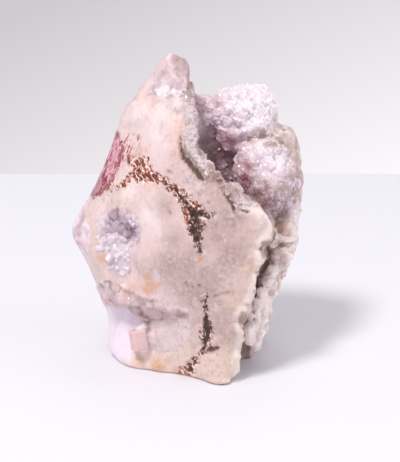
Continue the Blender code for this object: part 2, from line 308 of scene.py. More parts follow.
# Outlines and lines on the stone's front, as view points.
zones = {
    "front": [
        (-20.3, 88.1), (-16.6, 89.1), (-12.2, 90.8), (-7.4, 89.1), (-3.4, 90.1), (-1, 88.8),
        (-0.7, 82.3), (-1.7, 76.6), (-1.4, 71.5), (1, 67.1), (4.1, 64.1), (5.8, 61), (9.5, 60.3),
        (12.9, 57), (16.2, 52.6), (21, 52.2), (25, 52.2), (28.4, 50.2), (29.8, 46.5),
        (27.7, 42.7), (24.7, 40), (24.7, 33.6), (23.4, 25.8), (21.3, 20.7), (17.3, 14.7),
        (18.6, 8.9), (16.6, -1.3), (17.6, -8), (-26.4, -8), (-26.4, 3.1), (-12.9, 2.5),
        (-4.1, 3.8), (0, 8.9), (0, 16), (-7.8, 19.7), (-15.2, 21.8), (-20.6, 24.8),
        (-26.4, 28.2), (-30.8, 26.5), (-35.9, 33.6), (-43.3, 42.7), (-34.9, 58), (-26.4, 78.3),
    ],
    "peak": [
        (-0.7, 108), (4, 102), (1.5, 89.8), (-3.4, 90.1), (-7.4, 89.1), (-12.2, 90.8),
        (-15.2, 89.1), (-18.3, 88.1), (-16, 95.9), (-11, 103), (-6.1, 109),
    ],
    "ledge": [
        (-32, 26), (-28.8, 20.7), (-25.7, 18.7), (-21.3, 18), (-16.2, 14.7), (-7.1, 14),
        (0.3, 15.3), (0.3, 18), (-6.8, 19.7), (-15.2, 21.8), (-20.6, 24.8), (-26.4, 27.9),
    ],
    "recess": [
        (-27.5, 19), (-21, 17.7), (-15.9, 14.3), (-13.5, 13.3), (-12.9, 3.1), (-18.6, 2.8),
        (-19.5, -0.5), (-22.5, -0.2), (-27.5, 1.5),
    ],
    "rim": [
        (-3, 92), (2.5, 92), (6, 80), (9, 70), (16, 62), (24, 57.5), (30, 55), (30, 51),
        (21, 51.5), (16.2, 52), (12.9, 56.5), (9.5, 59.8), (5.8, 60.5), (4.1, 63.6), (1, 66.6),
        (-1.4, 71), (-2.5, 77), (-2.2, 84),
    ],
    "whiteMass": [
        (-13.5, 13.8), (-7, 14.3), (0, 14.7), (0.5, 9), (-3.6, 3.4), (-9.5, 3.4), (-13.5, 3.4),
    ],
    "pocket": [
        (-27.1, 51.2), (-20.6, 52.6), (-17.6, 50.2), (-15.6, 46.8), (-16.9, 42.7), (-20, 40),
        (-20.6, 33.3), (-21.3, 29.9), (-24, 29.9), (-26.1, 32.9), (-27.7, 37), (-29.4, 41.7),
        (-30.1, 47.8),
    ],
    "hematite": [
        (-24, 78.3), (-22.3, 75.6), (-21.7, 72.5), (-22, 68.1), (-24, 63.7), (-25.7, 60.7),
        (-29.8, 56.3), (-32.8, 54.6), (-33, 58), (-32, 62.7), (-30, 68.1), (-28, 73.2),
        (-26.5, 77),
    ],
    "matrix": [
        (17.6, 74.3), (21.7, 77.3), (26, 79), (28.8, 82.3), (31.1, 85.7), (32.5, 81.6), (34.5, 78.3),
        (38, 77), (38, 71.5), (35.9, 71.5), (32.8, 72.9), (28.4, 74.2), (23.7, 74.9), (19.3, 74.2),
    ],
    # the crevice right of the slab's edge, darkened as painted shade
    "crevice": [
        (25.2, 40.5), (27.6, 41.5), (29.8, 40.5), (28.6, 34), (27.5, 29), (24.5, 28), (24.7, 33.6),
    ],
    "peakGrey": [(-7, 103), (-2.7, 107), (2, 106), (1.5, 98), (-1.5, 95.5), (-5.2, 97)],
    "redStreaks": [(-22.7, 77.6), (-16.2, 76.2), (-16.9, 68.8), (-21.7, 68.1)],
}
# Lines of brown breccia: view points with the vein's half width at each.
veins = [
    [(-19.2, 68.3, 1.8), (-17.3, 66.2, 1.8), (-15, 67.6, 1.6), (-13.8, 64.5, 1.6)],
    [(-17.5, 63.5, 2.0), (-16, 62, 1.6)],
    [
        (-17, 65, 2.0), (-14.2, 63.5, 2.0), (-8.5, 61, 1.4), (-3.7, 57.6, 1.7), (-0.5, 53.6, 2.6),
        (2, 50, 3.6),
    ],
    [(2, 50, 3.8), (2.6, 46, 3.2), (3.2, 41.5, 1.5), (4.1, 36.5, 0.5)],
    [(2, 50.5, 2.0), (6, 49.3, 1.3), (9.1, 49.4, 0.4)],
    [(-18.6, 63.4, 1.0), (-22, 60, 0.8), (-24.7, 58.6, 0.7), (-26.1, 57.6, 0.5)],
    [(6.6, 23.6, 0.25), (5.8, 19.7, 0.6), (6, 14.7, 0.5)],
    [(6.1, 14.3, 1.0), (6.5, 10, 2.3), (6.1, 5.5, 1.6), (5, 3.2, 0.8)],
    [(5.4, 3.8, 0.7), (3.4, 1.5, 1.1), (2.4, -0.4, 1.3), (0.4, -2.8, 2.0), (-1.6, -4.8, 2.2)],
]
# The darkest, closest parts of the veins.
veinCores = [
    [
        (-8.5, 60.6, 0.2), (-3.7, 57.6, 0.3), (-0.5, 53.4, 0.4), (2, 50, 1.3), (2.6, 46, 2.2),
        (3.2, 41.5, 1.8), (4.1, 36.5, 0.8),
    ],
    [(2, 50.5, 1.4), (6, 49.3, 0.9), (9.1, 49.4, 0.4)],
    [(6.6, 24.2, 0.1), (5.8, 19.7, 0.5), (6, 14.7, 0.6), (6.3, 10, 1.2), (5, 4.5, 0.7)],
    [(2.4, -0.4, 0.2), (0.4, -2.8, 0.5)],
]
# Open cracks: view points with the crack's half width.
cracks = [
    [
        (-2.7, 75.9, 0.2), (-2.4, 72.5, 0.5), (-1.4, 69.1, 1.0), (1, 66.2, 1.2), (4.1, 62.6, 1.1),
        (5.8, 60.5, 0.5),
    ],
    [(10.8, 59, 0.3), (13.2, 55.6, 0.5), (15.2, 52.9, 0.9), (15.9, 50.5, 0.5)],
    [(17.5, 51.2, 0.5), (20.5, 50.6, 0.3)],
    [(6.8, 3.8, 0.9), (9.8, 4.2, 0.8)],
    [(-0.8, 26.5, 0.4), (-0.2, 25.7, 0.4)], [(1.3, 25.3, 0.35), (1.7, 24.9, 0.35)],
    [(3.7, 25.7, 0.35), (4.2, 25.5, 0.3)], [(-6.9, 64.3, 0.4), (-5.4, 63.9, 0.2)],
    [(3.6, 56.7, 0.3), (3.9, 56.5, 0.3)], [(-6.2, 50.6, 0.35), (-6, 50.3, 0.3)],
    [(6.7, 54, 0.3), (6.9, 53.8, 0.3)],
    [(9.1, 22.1, 0.25), (11.5, 22.8, 0.15), (13.9, 23.5, 0.15)],
]
# Lines of paler crystal, and of darker crystal that is partly painted shade in gaps and crevices:
# view points with the half width at each.
whiteLines = [[(-12.5, 90.9, 0.8), (-7.8, 91.8, 1.2), (-4.4, 91.5, 1.3), (-1.4, 90.8, 1)]]
brownAndShadeLines = [
    [(0.6, 97, 0.7), (1.0, 93.5, 1.0), (0.6, 89.8, 0.8)],
    [(-12.5, 97.5, 0.4), (-15.5, 94, 0.7), (-15.6, 91.2, 0.5)],
    [(-16, 16, 0.5), (-13.6, 13.5, 0.9), (-13.3, 10.5, 0.7)],
    [(20, 1, 1), (19.5, 7.5, 1.2)],
    [
        (19, 62.5, 1), (20.3, 57.5, 1.2), (24.5, 54, 1), (30, 49, 1), (30.5, 45, 1.4), (30, 40, 1.4),
        (27, 37, 1.4),
    ],
    [(-2, 74, 0.8), (-0.5, 69, 1.4), (3, 65, 1.6), (6, 62.4, 1.4)],
    [(26.5, 73.4, 0.8), (31, 73.8, 1)],
    [(7.5, 66, 1.2), (12.5, 60, 1.8), (16, 57, 1.4)],
]
# The foot's left corner stands further out: (x, y, z, reach, how far right, how far forward).
footPulls = [
    (-16, -5, 0.5, 5.5, 0, 4.5), (-21, 0, 1, 6, -1.5, 5), (-25, 8, 2, 6, -1.5, 3.5),
    (-10, -11, 0.5, 5, 0, 2.5),
]
# Broken faces of the peak: the way each faces and how far it cuts in, in millimetres.
peakFaces = [
    ((-0.55, -0.78, 0.3), 1.6), ((0.12, -0.97, 0.2), 1.5), ((0.7, -0.62, 0.34), 1.7),
    ((0.35, -0.6, 0.72), 1.4), ((-0.85, -0.1, 0.5), 0.5), ((0.95, 0.2, 0.1), 0.6),
    ((0.3, 0.8, 0.5), 1.5), ((-0.5, 0.8, 0.3), 1.5),
]
# Creases between the balls of the hollow: view points with the half width at each.
creases = [
    [(14.2, 73.2, 0.6), (17.5, 74.6, 1), (21.5, 75.8, 1.2), (26, 76.4, 1.4), (31, 76.2, 1.6)],
]
# Soft differences of tone over the front: (right, up, radius) of each patch.
tints = {
    "grey": [
        (1, 35, 7), (6, 27, 7), (8, 43, 8), (-4, 42, 5), (13, 37, 6), (2, 22, 5), (-8, 52, 4),
        (12, 10, 5), (-6, 33, 5), (15, 48, 5),
    ],
    "warm": [
        (21, 31, 4), (22, 40, 3), (16, 20, 4), (14, 4, 6), (-22, 56, 4), (-34, 44, 5), (-28, 34, 5),
    ],
    "peach": [(-3.2, 80, 3.4), (-3.8, 73, 3.4), (-14, 87, 3), (-13, 60.5, 3), (-17, 71, 4)],
    "pale": [
        (-9, 84, 7), (-11, 77, 6), (-16, 85, 5), (-9.5, 87, 3.5), (-4, 87.5, 3), (-20.5, 58.5, 4.5),
        (-26, 51, 5), (-14, 50, 4), (24, 49, 3), (-12, 8, 4),
    ],
}
stains = [
    # (right, up, radius, strength) of each ochre stain
    (-12.9, 24.8, 3.2, 1.0), (-13.8, 28.6, 1.8, 1.0), (-10, 26, 2, 0.7), (4.2, 35, 1.5, 1.0),
    (3, 18.4, 1.6, 0.6), (2.6, 13, 1.4, 0.6), (-29.1, 35, 2.2, 0.9), (17.9, 35, 2.4, 0.5),
    (21.7, 31.6, 3.0, 0.55), (14.9, 23.5, 2.2, 0.6), (10.2, 14.7, 2.2, 0.3), (-16.2, -0.4, 3.2, 0.7),
    (-10.2, -1.6, 3.6, 0.9), (-3.4, -3.4, 2.6, 0.7), (4.1, -6, 2.4, 0.5), (12.5, -5.5, 3, 0.45),
    (-35.2, 41, 2.6, 0.4), (-22, 0.4, 2.4, 0.5), (-18.5, 25, 2.4, 0.6), (-33, 38, 3, 0.4),
]
# Browner crystals, as view points with a radius and a strength if not 1: under the face's edge, where
# they are partly painted shadow, by the crevice on the right, partly painted shade too, on the rim and
# on the peak.
brownQuartzAndShade = [
    (-1.5, 16.8, 2.4), (-19.5, 24.4, 3), (-15.5, 22.6, 2.6), (-12, 21.4, 2.2), (-23, 27.4, 2.6),
    (11, 61, 2.5), (14.5, 56, 2.2), (9, 62, 3), (26, 38.2, 2.8), (30.6, 40, 2), (18.8, 14.3, 2.6),
    (31.5, 44.8, 2.8), (30, 50, 3), (-8.5, 92.5, 4.5, 0.35), (-0.9, 91.5, 2.2, 0.6),
    (-5.5, 100, 3, 0.35),
]
# Browner parts of the hollow's druzy, round the balls' edges and low on the right: partly brown
# crystal, partly painted shade on the balls' lower sides.
brownDruzeAndShade = [
    (36.5, 70, 3.5), (36.5, 63, 4.5), (36.5, 57, 5), (28, 55, 6), (22, 57, 4),
    (30, 50, 5), (25, 57, 6), (32.5, 58, 5),
]
# Painted shade in the hollow, with a deeper purple: a soft dark round a place in the stone's own frame,
# and view points with a radius and a strength where it is deepest.
hollowShadeAndPurple = {
    "middle": (8, 1, 70),
    "reach": (11, 14, 15),
    "share": 0.22,
    "deepest": [
        (11.5, 70, 3.5, 0.6), (14, 75, 3.5, 0.6), (10.5, 75.5, 3.5, 0.5), (20, 65.5, 3.8, 0.6),
        (4.5, 88, 3.5, 0.4), (9, 88, 3, 0.35), (19.6, 61.4, 2.8, 0.8), (16, 64.8, 2.8, 0.5),
        (17.6, 69.5, 2.5, 0.4), (27.5, 53.5, 4, 0.35), (24.4, 58, 4, 0.3),
    ],
}
# Small pulls that bring the outline true: (right, up, reach, how far right, how far up, how far
# nearer if at all).
pulls = [
    (0.2, 96, 5, -0.9, 0.3), (-7, 104, 4, -0.6, 0.5), (18.6, 92.5, 7, 0, 1.1), (8, 90, 5, 0, 0.9),
    (-35.5, 50.5, 6, -0.9, 0.2), (-38.3, 43.5, 6, -1.1, -0.3), (-26.3, 13.5, 5, 1.5, 0),
    (-24, 3.1, 4, -0.8, 0), (-28.4, 20.7, 4, -0.9, 0), (23.2, 20.2, 3, 1.3, 0),
    (25.3, 45.5, 4.5, 1.2, 3.2), (28.3, 46.5, 3.5, 1.2, 0.3), (22.5, 50, 4, 0, 2.2),
    (20, 70.5, 5.5, 0, 2.0), (26, 71, 5.5, 0, 2.0), (38, 62, 6, 0.7, 0), (26.3, 25, 4, 0, 0, 4),
    (25.5, 18, 4.5, -0.5, 0, 5), (23.5, 11, 3.5, 0, 0, 3), (18, 6, 5, -3, 0), (19.5, 2, 4, -1, 0),
    (8, 67.5, 4, 0.8, 1.8), (12.5, 64, 4, 0.8, 2, 1.5),
]


def patches(points, places):
    # 1 in the middle of the nearest of some round patches, or its own strength, fading out to 0
    best = np.zeros(len(points))
    for right, up, radius, *strength in places:
        gap = np.hypot(points[:, 0] - right, points[:, 1] - up)
        best = np.maximum(best, np.exp(-((gap / radius) ** 2)) * (strength[0] if strength else 1.0))
    return best


# painted shade of the hollow, with its deeper purple, at each place
def hollowShadeAndPurpleAt(places):
    away = (places / mm - hollowShadeAndPurple["middle"]) / hollowShadeAndPurple["reach"]
    around = np.exp(-np.sum(away * away, axis=1)) * hollowShadeAndPurple["share"]
    return np.clip(around + patches(toView(places), hollowShadeAndPurple["deepest"]), 0, 1)


def surfaceAt(tree, right, up):
    # where the stone's surface shows at a view point, in metres, and its normal
    back, upward = viewAxes()
    camera = back * view["distance"] + [0.0, 0.0, view["aimHeight"]]
    target = np.array([right, 0.0, view["aimHeight"]]) + upward * (up - view["aimHeight"] * upward[2])
    place, normal, _, _ = tree.ray_cast(Vector(camera) * mm, Vector(target - camera).normalized())
    return place, normal


def placeAt(right, up, y):
    # the place, in millimetres, that shows at a view point when its depth is known
    _, upward = viewAxes()
    return np.array([right, y, (up - y * upward[1]) / upward[2]])


def treeOf(places, obj):
    faces = [tuple(face.vertices) for face in obj.data.polygons]
    return BVHTree.FromPolygons([Vector(place) for place in places], faces)


def pointTree(points):
    tree = KDTree(len(points))
    for i, point in enumerate(points):
        tree.insert(Vector(point), i)
    tree.balance()
    return tree


def nearestOf(tree, points, count):
    # the numbers of the tree's points that are nearest to each point
    return np.array([[i for _, i, _ in tree.find_n(Vector(point), count)] for point in points])


stone = {
    "voxel": 0.6,
    "lightSmoothing": 3,
    "evenSmoothing": 2,
    "facetSmoothing": 11,  # more passes that take the coarse solid's facets off the polished face
    # (wavelength, height) of the waves in broken quartz, in the lined hollow and on the ground face
    "rawWaves": [(13.0, 0.6), (6.0, 0.45), (3.0, 0.45), (1.5, 0.3)],
    "lumpWaves": [(7.5, 0.9), (3.4, 0.5)],
    "polishWaves": [(16.0, 0.3), (5.0, 0.12)],
    "jitterWave": 5.0,  # of the wander of the masks' edges
    "gritWave": 1.4,
    "edgeWander": (0.7, 0.4),  # how far that wander and the grit shift an outline's edge
    "turned": (-0.05, 0.2),  # a surface is taken as facing forwards from the one to the other
    "seen": 0.3,  # how far it has to face forwards to carry lines and outlines
    "glimpsed": 0.02,  # and to carry those that go round its side
    "leastMask": 0.05,  # crystals and lumps are grown wherever a mask is over this
    # size between neighbours' middles, and height, of what is grown together over a mask:
    "lumps": (3.4, 0.54),  # round, of the hollow's lining
    "facets": (3.6, 0.5),  # crystals of broken quartz
    "knobs": (4.6, 0.5),  # round, along the slab's edge and on the white mass
    "blocks": (4.0, 0.45),  # angular, of the far wall and the ledge
    "crumbs": (2.2, 0.4),  # at the peak's broken tip
    "creaseDepth": 0.9,
    "matrixDepth": 0.9,
    "veinDepth": 0.7,
    "crackDepth": 0.5,
    "polishedBack": 14.0,  # the ground surface ends this far behind the middle
    "linedReach": 1.3,  # the lining of the hollow lies this close under the coarse crust
    "foot": (0.2, 1.5),  # the shaping fades in between these heights, so that the foot stays flat
    "peakFoot": (86, 96),  # the same for the cuts of the peak's faces
    "peakTop": (89, 3),  # the peak's end is above the first and left of the second
    "peakRight": 4,  # no cut goes further right than this
    "peakLine": ((-18.3, 88.1), (0.9, -0.44)),  # left of this line the peak keeps its rind
    "shadeAngle": 38,  # degrees
    "hidden": -9,  # what a line's or an outline's mask says where it doesn't show
}


def copyOfNode(name, newName):
    obj = addObject(newName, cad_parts[name].data.copy())
    obj.data.materials.clear()
    shape = bmesh.new()
    shape.from_mesh(obj.data)
    bmesh.ops.remove_doubles(shape, verts=shape.verts, dist=1e-6)
    shape.to_mesh(obj.data)
    shape.free()
    return obj


def distanceToNode(points, name):
    tree = BVHTree.FromObject(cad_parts[name], bpy.context.evaluated_depsgraph_get())
    return np.array([tree.find_nearest(Vector(point))[3] for point in points]) / mm


def thinned(places, spacing):
    # the indices of places no two of which are nearer than the spacing, in millimetres
    cell = spacing * mm
    taken, kept = {}, []
    for i, point in enumerate(places):
        key = tuple(np.floor(point / cell).astype(int))
        near = [
            j
            for dx in (-1, 0, 1) for dy in (-1, 0, 1) for dz in (-1, 0, 1)
            for j in taken.get((key[0] + dx, key[1] + dy, key[2] + dz), ())
        ]
        if all(np.sum((places[j] - point) ** 2) > cell * cell for j in near):
            taken.setdefault(key, []).append(i)
            kept.append(i)
    return kept


def crystalRelief(places, chosen, spacing, seed, rounded):
    # heights, in millimetres, of crystals or round lumps grown together over the chosen places
    dice = np.random.default_rng(seed)
    heights = np.zeros(len(places))
    members = np.flatnonzero(chosen)
    order = dice.permutation(members)
    seeds = places[order[thinned(places[order], spacing)]]
    turns = np.linalg.qr(dice.normal(size=(len(seeds), 3, 3)))[0]
    lifts = dice.uniform(-0.25, 0.25, len(seeds)) * spacing
    near = nearestOf(pointTree(seeds), places[members], 5)
    away = (places[members][:, None] - seeds[near]) / mm
    if rounded:
        fall = np.sum(away * away, axis=2) / spacing
    else:
        fall = np.abs(np.einsum("nsij,nsj->nsi", turns[near], away)).max(axis=2)
    heights[members] = (lifts[near] - fall).max(axis=1) + spacing * 0.4
    return heights


def fallFrom(places, middle, reach):
    # 1 at the middle, in metres, and fading out to 0 past the reach
    gap = np.linalg.norm(places - np.array(middle), axis=1) / mm
    return np.exp(-((gap / reach) ** 2))[:, None]


def pulled(places, obj):
    # how far each point moves so that the outline comes true
    tree = treeOf(places, obj)
    shown = toView(places)
    _, upward = viewAxes()
    standing = smoothStep(places[:, 2] / mm, *stone["foot"])[:, None]
    moves = np.zeros_like(places)
    for right, up, reach, across, rise, *nearer in pulls:
        middle, _ = surfaceAt(tree, right, up)
        if middle is None:  # just outside the outline: take the nearest part of it
            middle = places[np.hypot(*(shown - [right, up]).T).argmin()]
        fall = fallFrom(places, middle, reach)
        moves += fall * standing * (across * np.array([1.0, 0, 0]) + rise * upward) * mm
        moves += fall * np.array([0, -(nearer[0] if nearer else 0.0), 0]) * mm
    for x, y, z, reach, across, nearer in footPulls:
        fall = fallFrom(places, np.array([x, y, z]) * mm, reach)
        moves += fall * np.array([across, -nearer, 0.0]) * mm
    return moves


def peakCut(places, x, z, jitter, bare):
    # how far each point moves in so that the peak ends in broken faces
    cut = np.zeros_like(places)
    lowest, furthest = stone["peakTop"]
    top = (z > lowest) & (x < furthest)
    share = smoothStep(z, *stone["peakFoot"]) * (x < stone["peakRight"]) * bare
    for face, depth in peakFaces:
        way = np.array(face) / np.linalg.norm(face)
        height = (places + cut) @ way / mm + jitter * 0.4
        over = np.clip(height - (height[top].max() - depth), 0, None) * share
        cut -= over[:, None] * way * mm
    return cut


def shapeStone():
    obj = copyOfNode("stone", "polished_stone")
    applyModifier(obj, "REMESH", mode="VOXEL", voxel_size=stone["voxel"] * mm)
    applyModifier(obj, "SMOOTH", factor=0.5, iterations=stone["lightSmoothing"])
    places, _ = meshArrays(obj)
    gaps = np.stack([distanceToNode(places, name) for name in ("hollow_druzy", "pocket_druzy")])
    places += pulled(places, obj)
    setPlaces(obj, places)
    tree = pointTree(places)
    # the pulls stretch the mesh, so it is made even again before the finer shaping
    applyModifier(obj, "REMESH", mode="VOXEL", voxel_size=stone["voxel"] * mm)
    applyModifier(obj, "SMOOTH", factor=0.5, iterations=stone["evenSmoothing"])
    crisp, _ = meshArrays(obj)
    applyModifier(obj, "SMOOTH", factor=0.5, iterations=stone["facetSmoothing"])
    places, normals = meshArrays(obj)
    print("stone remeshed:", len(places), "points")

    hollowGap, pocketGap = gaps[:, nearestOf(tree, places, 3)].mean(axis=2)
    reach = stone["linedReach"]
    shown = toView(places)
    right, up = shown.T
    back, _ = viewAxes()
    x, y, z = (places / mm).T
    jitter = noiseField(places, stone["jitterWave"], 1)
    grit = noiseField(places, stone["gritWave"], 4)
    facing = smoothStep(normals @ back, *stone["turned"])
    shifts = np.stack([jitter, grit], axis=1) @ stone["edgeWander"]

    def zone(name, low=-0.5, high=0.7):
        return smoothStep(depthInside(shown, zones[name]) + shifts, low, high) * facing

    def whereSeen(values, least=stone["seen"]):
        return np.where(facing > least, values, stone["hidden"])

    lined = 1 - smoothStep(hollowGap + jitter * 0.5, reach, reach + 1)
    bare = 1 - lined
    pocketLined = 1 - smoothStep(pocketGap, reach, reach + 0.6)
    pocketLined *= smoothStep(depthInside(shown, zones["pocket"]) + jitter * 0.6, -1.2, 0.2)
    ledge, recess, peak, peakTip = zone("ledge"), zone("recess"), zone("peak"), zone("peakGrey")
    front = zone("front") * smoothStep(-normals[:, 1], 0.0, 0.25)
    wander = noiseField(places, 14, 6) * 9 + jitter * 2
    leftSide = smoothStep(-x, 8, 14) * smoothStep(stone["polishedBack"] - y + wander, -1, 3)
    leftSide *= smoothStep(92 - z, -2, 4) * (1 - ledge) * (1 - recess)
    polished = np.maximum(front, leftSide) * bare * (1 - pocketLined) * (1 - peak)
    nubDepth = 1.1 - np.hypot((y - 3) / 12, (z - 44) / 8) + jitter * 0.3
    nub = smoothStep(-x, 31.5, 34) * smoothStep(nubDepth, 0, 0.4)
    quartz = np.maximum.reduce([peak, ledge, recess, nub]) * bare
    white = zone("whiteMass") * bare
    polished *= 1 - white
    quartz *= 1 - white
    rightSide = smoothStep(x, 22, 26) * smoothStep(62 - z + jitter * 9, 0, 14) * (1 - polished) * bare
    quartz = np.maximum(quartz, rightSide * smoothStep(-y, -4, 2) * 0.7)
    rim = zone("rim") * bare * (1 - polished)
    start, slope = stone["peakLine"]
    fromLeft = (shown - start) @ slope
    peakRind = peak * smoothStep(fromLeft + jitter, 3.8, 2.4) * smoothStep(-x, 4, 6)
    polished = np.maximum(polished, peakRind)
    quartz = quartz * (1 - peakRind)
    matrix = zone("matrix") * lined
    edge = smoothStep(3.0 - np.abs(depthInside(shown, zones["front"])), 0, 1.6)
    edge *= smoothStep(right, 10, 14) * smoothStep(54 - up, 0, 3) * facing * bare
    wall = rightSide * smoothStep(right, 24, 27)
    crease = smoothStep(lineStrength(shown, creases) + jitter * 0.6, -2.2, 0.6)
    crease = np.where(facing > stone["glimpsed"], crease, 0) * lined
    hematite = whereSeen(depthInside(shown, zones["hematite"]), stone["glimpsed"])
    tipDepth = depthInside(shown, zones["peakGrey"]) + jitter * 2
    masks = {
        "polished": polished, "lined": lined, "quartz": quartz, "pocketLined": pocketLined,
        "rim": np.maximum(rim, white), "edge": edge, "matrix": matrix, "wall": wall, "ledge": ledge,
        "white": white * (0.6 + 0.4 * smoothStep(-right + jitter * 2, 0, 6)),
        "vein": whereSeen(lineStrength(shown, veins)),
        "crack": whereSeen(lineStrength(shown, cracks)),
        "core": whereSeen(lineStrength(shown, veinCores)),
        "whiteLine": whereSeen(lineStrength(shown, whiteLines)),
        # brownLine: browner crystal, partly painted shade in gaps and crevices
        "brownLine": whereSeen(lineStrength(shown, brownAndShadeLines), stone["glimpsed"]),
        "hematite": np.where(polished > 0.3, hematite, stone["hidden"]),
        "streaks": whereSeen(depthInside(shown, zones["redStreaks"])),
        "ochre": patches(shown, stains) * facing,
        # low: paler and warmer towards the foot, partly its cream, partly painted light on the less lit
        # lower face
        "low": smoothStep(26 - z, 0, 16) * facing,
        # deep: painted shade in the hollow, with a deeper purple
        "deep": hollowShadeAndPurpleAt(places),
        # bright: pale quartz in the recess and on the ledge, lifted as painted light where they lie in
        # shade
        "paleAndPaintedLight": np.maximum(recess * 0.9, ledge * 0.4),
        # brown: browner quartz, and painted shade in the crevice and under the face's edge
        "brown": np.maximum.reduce([
            patches(shown, brownQuartzAndShade) * facing, ledge * 0.25, zone("crevice", -0.8, 0.6),
            smoothStep(tipDepth, -2.5, 2.5) * 0.6,
        ]),
    }
    for name in tints:
        masks[name] = patches(shown, tints[name]) * facing

    raw = np.clip(1 - polished - lined - pocketLined, 0, 1)
    rawWaves, lumpWaves, polishWaves = (
        sum(height * noiseField(places, length, length) for length, height in stone[name])
        for name in ("rawWaves", "lumpWaves", "polishWaves")
    )
    peak = peak * bare
    lowPeak = smoothStep(up + jitter, 97, 93)
    faceted = raw * np.maximum(quartz * (1 - peak * (1 - lowPeak * 0.7)) * (1 - wall), rim * 0.8)
    faceted *= 1 - white * smoothStep(right, -9, -5)
    soft = white * raw * 0.5 * smoothStep(-right, 5, 9)
    soft = np.maximum(edge * smoothStep(43 - up, 0, 4), soft)
    blocky = np.maximum(wall * raw, ledge * raw)
    relief = {}
    for name, chosen, seed, rounded in (
        ("facets", faceted, 11, False), ("knobs", soft, 15, True), ("blocks", blocky, 16, False),
        ("crumbs", peakTip, 17, False), ("lumps", lined, 12, True),
    ):
        grown = chosen > stone["leastMask"]
        relief[name] = crystalRelief(places, grown, stone[name][0], seed, rounded)
    typical = np.quantile(relief["blocks"][blocky > 0.5], 0.45)
    # darker where the blocks' relief lies low, between them: painted shade
    masks["shadeBetweenBlocks"] = blocky * smoothStep(typical - relief["blocks"] + grit * 0.6, 0, 0.9)
    relief["knobs"] = relief["knobs"] + grit * 1.2
    facetShare = faceted * (1 - recess * 0.75) * (1 - ledge * 0.8)
    step = raw * rawWaves * (1 - quartz * 0.6) * (1 - white) * (1 - peak * 0.7)
    step += polished * polishWaves + lined * lumpWaves
    for name, share in (
        ("lumps", lined), ("facets", facetShare), ("knobs", soft), ("blocks", blocky),
        ("crumbs", peakTip),
    ):
        step += share * relief[name] * stone[name][1]
    step -= crease * stone["creaseDepth"] + matrix * stone["matrixDepth"]
    cleft = smoothStep(masks["vein"] + grit * 1.6, -0.2, 0.7) * (0.5 + 1.2 * grit)
    step -= stone["veinDepth"] * cleft
    step -= stone["crackDepth"] * smoothStep(masks["crack"] + grit * 0.6, -0.5, 0.5)
    places = crisp + (places - crisp) * np.maximum(polished, lined)[:, None]
    standing = smoothStep(z, *stone["foot"])[:, None]
    cut = peakCut(places, x, z, jitter, bare)
    setPlaces(obj, places + cut + normals * step[:, None] * standing * mm)
    for name, values in masks.items():
        setAttribute(obj, name, values)
    makeActive(obj)
    bpy.ops.object.shade_smooth_by_angle(angle=math.radians(stone["shadeAngle"]))
    return obj


stoneLooks = {
    # paler and warmer towards the foot: partly its cream, partly painted light on the less lit lower
    # face
    "low": "#ead5c8",
    "warm": "#dcc3b0",
    "grey": "#a8908c",
    "peach": "#edc0ae",
    "pale": "#f4e7e9",
    "dusky": "#bfa5a1",
    "edge": "#f6ebe4",
    "rust": "#c9a183",
    "white": "#dfcac8",
    # pale quartz of the recess and ledge, lifted as painted light where they lie in shade
    "paleAndPaintedLight": "#f4e6f3",
    "ledge": "#ecd2d3",
    # painted shade between the blocks
    "shadeBetweenBlocks": "#a08a84",
    # browner quartz, and painted shade in the crevice and under the face's edge
    "brown": "#a58a80",
    "whiteLine": "#fcf6f8",
    # browner crystal, partly painted shade in gaps and crevices
    "brownLine": "#957670",
    "lining": "#ecdae6",
    # the hollow's painted shade, with its deeper purple
    "deep": "#96485b",
    "pocketLined": "#e3d2de",
    "ochre": "#d0965a",
    "redEdge": "#8f3442",
    "redTip": "#7d2638",
    "streaks": "#a35463",
    "crackEdge": "#a5837a",
    "crack": "#4a2c23",
    # colours that follow one another, each with its place between 0 and 1
    "bodyTones": [(0.68, "#ebd4d5"), (0.86, "#dec6c3"), (1.0, "#c9b0ad")],
    "rindTones": [(0.4, "#a68f8a"), (0.47, "#c9b3ad"), (0.53, "#dccbc9"), (0.6, "#ecdedb")],
    "rimTones": [(0.32, "#9c8683"), (0.45, "#d9c9c7"), (0.62, "#eee4e3")],
    "clearTones": [(0.36, "#c3a9b3"), (0.5, "#e2cfd8"), (0.64, "#f4eaf1")],
    # the far wall's pale quartz, lifted further as painted light where the slab shades it
    "wallTones": [(0.34, "#c4aaa4"), (0.46, "#eadad5"), (0.6, "#f8eeea")],
    "matrixTones": [(0.38, "#bfa397"), (0.5, "#ead8d0"), (0.62, "#f8efec")],
    "veinTones": [
        (0.37, "#34190f"), (0.44, "#6c3c2e"), (0.485, "#9d6857"), (0.52, "#ecd2c8"), (0.7, "#f9ede9"),
    ],
    "rustTones": [
        (0.4, "#5a281b"), (0.49, "#95492f"), (0.53, "#c98a74"), (0.56, "#f1d6cc"), (0.7, "#fcf2ee"),
    ],
    "redTones": [
        (0.37, "#6e2236"), (0.44, "#a0405a"), (0.48, "#c77c8e"), (0.52, "#efd2d8"), (0.57, "#c06f82"),
        (0.63, "#852c40"),
    ],
    # fine specks in the ground face: the grain they start and end at, how strong, and their colour
    "specks": [(0.52, 0.66, 0.4, "#a08480"), (0.47, 0.34, 0.25, "#f0e2df")],
    "tintStrength": {"warm": 0.8, "grey": 0.8, "peach": 0.75, "pale": 0.75},
    "roughPolished": 0.42,
    "roughRaw": 0.4,
    "bumpDepth": 0.35,
    "sinkDepth": 2.0,  # how far light sinks in
}


